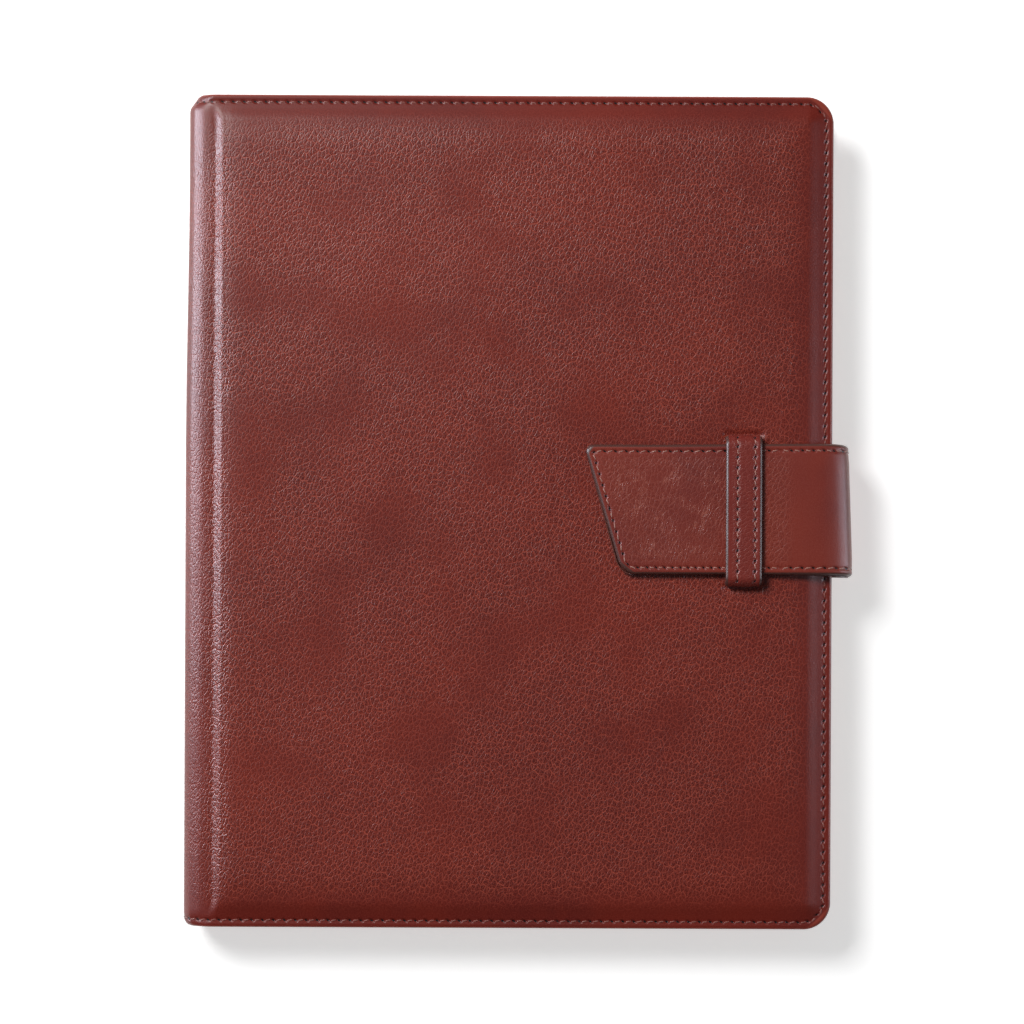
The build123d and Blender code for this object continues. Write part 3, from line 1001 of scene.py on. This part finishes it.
keeper, keeper_grid = keeper_sheet(loop, keeper_lift)
_, keeper_under_grid = keeper_sheet(inner_loop, None)
keeper_leather = leather(
    "keeper_leather", linear(124, 39, 33), linear(142, 48, 36), linear(160, 84, 70), grain=0.35,
    smooth_edge=(0.8, 2.4), paint_width=0.9, shift=300.0, rows=(keeper_start, keeper_rows),
    pitch=keeper_pitch)
finish_piece(keeper_grid.piece("keeper_band"), keeper_leather, ride="front_cover",
             replaces=("keeper_leather",))
finish_piece(keeper_under_grid.piece("keeper_band_lining"), strap_lining, ride="front_cover",
             replaces=("keeper_lining",))
centres, ups = [], []
stitch_count = int((loop.length - 2 * keeper_start) / keeper_pitch)
for b in keeper_rows:
    for n in range(stitch_count):
        a = keeper_start + (n + 0.5) * keeper_pitch
        points, up = thread_points(keeper, a, b, (1.0, 0.0), 2.1, -0.2, 0.06)
        centres.append(points)
        ups.append(up)
finish_piece(tubes("keeper_stitches", np.array(centres), np.array(ups), 0.2), strap_thread,
             ride="front_cover")


# ---------------------------------------------------------------- lining


lining_cloth = woven("lining_cloth", linear(58, 40, 34), linear(92, 66, 54))
trim = 1.6
inside = girth.other_side(flange_thick, 1.2)
trim_steps = int(trim / Path.step)
trimmed = Path(inside.line[trim_steps:-trim_steps:5], 0.5)
inside_cut = inside.where(x=spine_cut_x + 0.8)
cloth_cuts = [c - trim for c in (inside_cut, inside.length / 2, inside.length - inside_cut)]
cloth_length = trimmed.length
cloth_half = half_height - trim
cloth_rim = 0.3
cloth = Sheet(trimmed, cloth_half, [cover_radius - trim] * 4, cloth_rim, math.pi / 2, deep=0.7,
              warp=cover_warp)
cloth_a = cloth.along(
    (8, 0.9), (cloth_cuts[0] - 12, 4.0), (cloth_cuts[0], 0.5), (cloth_cuts[1], 0.5), (cloth_cuts[2], 0.5),
    (cloth_cuts[2] + 12, 0.5), (cloth_length - 8, 4.0), (cloth_length - cloth_rim, 0.9))
cloth_b = cloth.across_it(
    (8 - cloth_half, 0.9), (0, 4.0), (cloth_half - 8, 4.0), (cloth_half - cloth_rim, 0.9))
cloth_grid = Grid(cloth, cloth_a, cloth_b)
cloth_parts = [
    ("back_cover_lining", None, cloth_cuts[0], ("back_lining",)),
    ("spine_lining_low", cloth_cuts[0], cloth_cuts[1], ("spine_lining_lower",)),
    ("spine_lining_high", cloth_cuts[1], cloth_cuts[2], ("spine_lining_middle",)),
    ("front_cover_lining", cloth_cuts[2], None, ("front_lining", "spine_lining_upper")),
]
for (name, start, end, nodes), blend in zip(cloth_parts, reversed(cover_blends)):
    finish_piece(cloth_grid.piece(name, start, end), lining_cloth,
                                      blend=blend, replaces=nodes)


# ---------------------------------------------------------------- flat pieces inside


inside_leather = leather(
    "inside_leather", linear(84, 44, 36), linear(98, 52, 42), linear(126, 76, 62), grain=0.5,
    smooth_edge=(0.5, 2.0), holes=False)
sheet_thick, slot_thick = 0.75, 0.65
clear = 1.9  # how far a pocket's sewn sides stand in from its CAD solid's


def flat_sheet(name, node, low, high, looks_up, thick, radii, body, lift=None):
    """A flat sheet of inside leather with soft edges, in the x-y outline from low to high."""
    faces = corner(node)
    z_face = faces[1][2] if looks_up else faces[0][2]
    ends = [(high[0], z_face), (low[0], z_face)] if looks_up else [(low[0], z_face), (high[0], z_face)]
    half = (high[1] - low[1]) / 2
    soft = 0.3
    sheet = Sheet(Path(ends, soft), half, radii, soft, math.pi / 2, deep=thick * 0.9, inset=0.25,
                  middle=(low[1] + high[1]) / 2, row=2.0, lift=lift)
    edge = sheet.edge()

    def spaced(size):
        inside = lines(soft, (4, 0.6), (size / 2, 2.0), (size - 4, 2.0), (size - soft, 0.6))
        return np.concatenate([edge, inside, size - edge[::-1]])

    grid = Grid(sheet, spaced(sheet.path.length), spaced(2 * half) - half)
    finish_piece(grid.piece(name), inside_leather, ride=body, replaces=(node,))
    return sheet


def slot_lift(a, b, d):
    return 0.10 * smooth(d, 0.5, 3.0) - 0.08 * bell(d, slot_row, 0.5)


low, high = corner("front_pocket")
flat_sheet("front_pocket_leather", "front_pocket", (low[0], low[1] + clear),
           (high[0] - clear, high[1] - clear), False, sheet_thick, [0.6, 0.6, 6.8, 6.8], "front_cover")
slot_row, slot_radii = 1.6, [1.6] * 4
for n in (1, 2, 3):
    node = "card_slot_%d" % n
    low, high = corner(node)
    sheet = flat_sheet(node + "_leather", node, low[:2], (high[0], high[1] - 0.4), False, slot_thick,
                       slot_radii, "front_cover", slot_lift)
    sewn = Sheet(sheet.path, sheet.half, slot_radii, sheet.rim, math.pi / 2, middle=sheet.middle, row=slot_row,
                 lift=slot_lift, pitch=3.0)
    row = sewn_row(node + "_stitches", sewn, lambda a, b: True, visible=1.9)
    finish_piece(row, strap_thread, ride="front_cover")
sleeve_low, sleeve_high = corner("back_sleeve")
flat_sheet("back_sleeve_leather", "back_sleeve", (sleeve_low[0], sleeve_low[1] + clear),
           (sleeve_high[0] - clear, sleeve_high[1] - clear), True, sheet_thick, [6.8, 6.8, 0.6, 0.6],
           "back_cover")


# ---------------------------------------------------------------- pads, boards and notebook


def rounded_outline(low, high, radius, spacing=12.0):
    """Points round a rectangle with round corners, anticlockwise, about evenly spaced on its sides."""
    (x0, y0), (x1, y1) = low, high
    per_corner = 6
    ring = []
    for cx, cy, start in ((x1, y1, 0), (x0, y1, 90), (x0, y0, 180), (x1, y0, 270)):
        sx, sy = (-1 if cx == x1 else 1), (-1 if cy == y1 else 1)
        for k in range(per_corner + 1):
            angle = math.radians(start + 90 * k / per_corner)
            ring.append((cx + radius * (sx + math.cos(angle)), cy + radius * (sy + math.sin(angle))))
    ring = np.array(ring)
    dense = []
    for p, q in zip(ring, np.roll(ring, -1, axis=0)):
        count = max(int(np.hypot(*(q - p)) / spacing), 1)
        dense += [p + (q - p) * k / count for k in range(count)]
    return np.array(dense)


def slab(name, low, high, radius, levels, wobble, material, body, node):
    """A flat block with round corners and many levels, each drawn in a little, such as a block of pages."""
    ring = rounded_outline(low[:2], high[:2], radius)
    count = len(ring)
    centre, size = (low[:2] + high[:2]) / 2, high[:2] - low[:2]
    draws = rng.uniform(0, wobble, levels)
    draws[0] = draws[-1] = wobble
    verts, faces = [], []
    for z, draw in zip(np.linspace(low[2], high[2], levels), draws):
        shrunk = centre + (ring - centre) * (1 - 2 * draw / size)
        verts += [(x, y, z) for x, y in shrunk]

    def join(lower, upper, turned=False):
        for i in range(count):
            j = (i + 1) % count
            quad = (lower + i, lower + j, upper + j, upper + i)
            faces.append(quad[::-1] if turned else quad)

    for k in range(levels - 1):
        join(k * count, (k + 1) * count)
    for base in (0, (levels - 1) * count):
        last = base
        for share in (0.94, 0.8, 0.5):
            first = len(verts)
            outer = np.array(verts[base:base + count])
            inward = centre + (outer[:, :2] - centre) * share
            verts += [(x, y, outer[0, 2]) for x, y in inward]
            join(last, first, turned=base == 0)
            last = first
        cap = list(range(last, last + count))
        faces.append(cap if base else cap[::-1])
    obj = new_object(name, verts, faces, soft=False)
    return finish_piece(obj, material, ride=body, replaces=(node,))


foam = fibrous("padding_foam", linear(196, 190, 176), linear(224, 220, 206), 0.95, scale=1.2, depth=0.0002)
grey_board = fibrous("grey_board", linear(118, 114, 106), linear(146, 142, 132), 0.9, scale=1.6)
paper = fibrous("page_paper", linear(232, 226, 208), linear(244, 240, 228), 0.85, scale=1.0, stripes=0.42)
card_stock = fibrous("notebook_card", linear(46, 44, 46), linear(66, 62, 62), 0.6, scale=1.4)
binding = fibrous("binding_cloth", linear(30, 28, 30), linear(54, 50, 50), 0.8, scale=3.0, depth=0.00008)

for side in ("front", "back"):
    low, high = corner(side + "_padding")
    away = np.array([0, 0, 0.2 if side == "back" else 0.0])  # keeps the pad off the leather
    pad = slab(side + "_cover_pad", low + (5, 7, 0.02) + away, high - (7, 7, 0.22) + away, 6.0, 4, 0.4, foam,
               side + "_cover", side + "_padding")
pages_low, pages_high = corner("notebook_pages")
pages_low[2] = sleeve_high[2] + 0.02
slab("notebook_page_block", pages_low, pages_high, 1.2, 44, 0.22, paper, "back_cover",
     "notebook_pages")


def dress(node, material):
    obj = frame["nodes"][node]
    obj.data.materials.clear()
    obj.data.materials.append(material)


for side in ("front", "back"):
    dress(side + "_board", grey_board)
    dress("notebook_%s_card" % side, card_stock)
dress("notebook_tape", binding)


# ---------------------------------------------------------------- floor, light and camera


spine_glow, edge_glow = (-0.09, 0, 0.02), (0.10, 0, 0.02)  # what the side lights point at, in metres
white, cool = (1.0, 1.0, 1.0), (0.74, 0.87, 1.0)


def area_light(name, place, target, size, size_y, power, colour=white, sheen_only=False):
    """A flat light, in metres and watts. One that is for sheen only shows in gloss and lights nothing."""
    light = bpy.data.lights.new(name, "AREA")
    light.shape, light.size, light.size_y = "RECTANGLE", size, size_y
    light.energy, light.color = power, colour
    obj = bpy.data.objects.new(name, light)
    obj.location = place
    obj.rotation_mode = "QUATERNION"
    obj.rotation_quaternion = (Vector(target) - Vector(place)).to_track_quat("-Z", "Y")
    obj.visible_diffuse = not sheen_only
    bpy.context.scene.collection.objects.link(obj)


floor_half, floor_drop = 20000.0, 0.2
corners = ((-1, -1), (1, -1), (1, 1), (-1, 1))
floor_corners = [(x * floor_half, y * floor_half, -floor_drop) for x, y in corners]
floor = new_object("floor", floor_corners, [(0, 1, 2, 3)], soft=False)
floor_paint = Nodes("floor_paint")
floor.data.materials.append(floor_paint.set(
    Base_Color=(0.92, 0.92, 0.92, 1), Roughness=0.9, Specular_IOR_Level=0.1, Emission_Color=(*white, 1),
    Emission_Strength=0.53))

world = bpy.data.worlds.new("studio")
world.use_nodes = True
world.node_tree.nodes["Background"].inputs["Color"].default_value = (*white, 1)
world.node_tree.nodes["Background"].inputs["Strength"].default_value = 0.15
bpy.context.scene.world = world
world.cycles_visibility.glossy = False

area_light("key", (-0.75, 0.80, 1.2), (0, 0, 0), 0.55, 0.55, 21.0)
area_light("left_strip", (-1.05, 0.22, 0.20), spine_glow, 0.30, 1.1, 32.0, cool, True)
area_light("left_bank", (-0.98, 0.15, 0.62), spine_glow, 0.30, 1.1, 1.6, cool, True)
area_light("right_strip", (1.05, -0.05, 0.20), edge_glow, 0.24, 1.0, 7.5, cool, True)
area_light("right_bank", (0.95, -0.05, 0.62), edge_glow, 0.30, 1.0, 1.0, cool, True)

camera_distance, camera_shift, camera_turn = 0.9, 0.00196, math.radians(0.26)
camera = bpy.data.cameras.new("camera")
camera.lens, camera.sensor_width = 99.0, 36.0
camera.clip_start, camera.clip_end = 0.05, 20
camera_object = bpy.data.objects.new("camera", camera)
camera_object.rotation_euler = (0, 0, camera_turn)
camera_object.location = (camera_shift, 0.0, closed_thickness * MM + camera_distance)
bpy.context.scene.collection.objects.link(camera_object)
bpy.context.scene.camera = camera_object
bpy.context.scene.view_settings.view_transform = "Standard"
